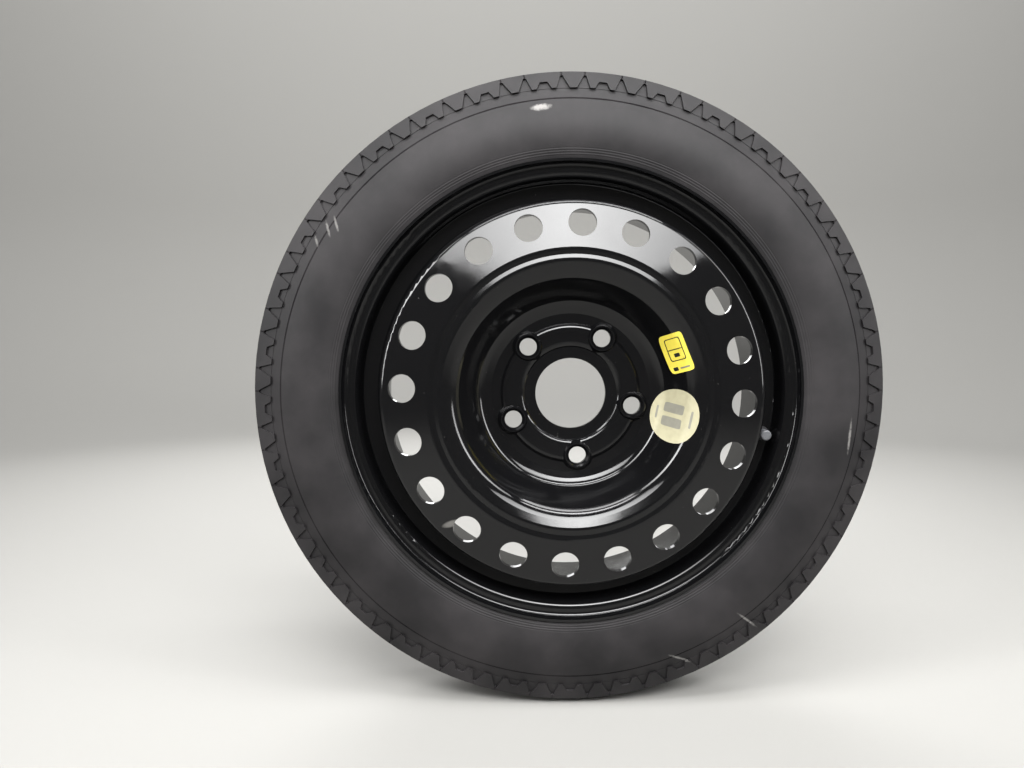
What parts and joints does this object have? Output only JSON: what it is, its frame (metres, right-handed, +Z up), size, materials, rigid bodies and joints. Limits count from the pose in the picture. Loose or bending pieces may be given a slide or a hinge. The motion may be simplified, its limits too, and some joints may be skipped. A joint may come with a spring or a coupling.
{
  "type": "spare wheel",
  "caption": "Narrow steel spare wheel for a car: dished disc with round vents, temporary-use tyre, and a snap-in valve with a screw cap.",
  "frame": {"origin": "centre of the hub mounting face, on the wheel's axis", "axes": "+Y along the axle towards the car, street side towards -Y, +Z up"},
  "size_m": [0.6064, 0.1426, 0.6064],
  "materials": {
    "tyre_rubber": "moulded black tyre rubber, matt",
    "black_steel": "gloss black dip paint on pressed steel",
    "weld_steel": "weld bead under black paint",
    "valve_rubber": "moulded black rubber",
    "valve_brass": "turned brass",
    "spring_steel": "drawn steel wire",
    "cap_plastic": "moulded grey plastic",
    "label_cream": "printed paper-film label, cream",
    "label_yellow": "printed film label, yellow"
  },
  "bodies": {
    "wheel": {"tyre": "tyre_rubber", "rim": "black_steel", "disc": "black_steel", "weld_beads": "weld_steel", "valve_body": "valve_rubber", "valve_stem": "valve_brass", "core_barrel": "valve_brass", "core_spring": "spring_steel", "round_label": "label_cream", "tall_label": "label_yellow"},
    "core_pin": {"core_pin": "valve_brass", "core_seal": "valve_rubber"},
    "cap_seal": {"cap_seal": "valve_rubber"},
    "valve_cap": {"valve_cap": "cap_plastic"}
  },
  "joints": [
    {"name": "core_press", "type": "slide", "parent": "wheel", "child": "core_pin", "axis": [0.1257, 0.9917, -0.0267], "range_m": [0, 0.0014], "stiffness_N_per_m": 500, "springref_m": -0.004, "deforming": ["core_spring"]},
    {"name": "cap_lift", "type": "slide", "parent": "wheel", "child": "cap_seal", "axis": [-0.1257, -0.9917, 0.0267], "range_m": [0, 0.009]},
    {"name": "cap_turn", "type": "hinge", "parent": "cap_seal", "child": "valve_cap", "pos_m": [0.18695, 0.00397, -0.03974], "axis": [-0.1257, -0.9917, 0.0267], "range_deg": [0, 4080.6]}
  ],
  "couplings": [
    {"joint": "cap_turn", "follows": "cap_lift", "rad_per_m": 7913.3}
  ]
}
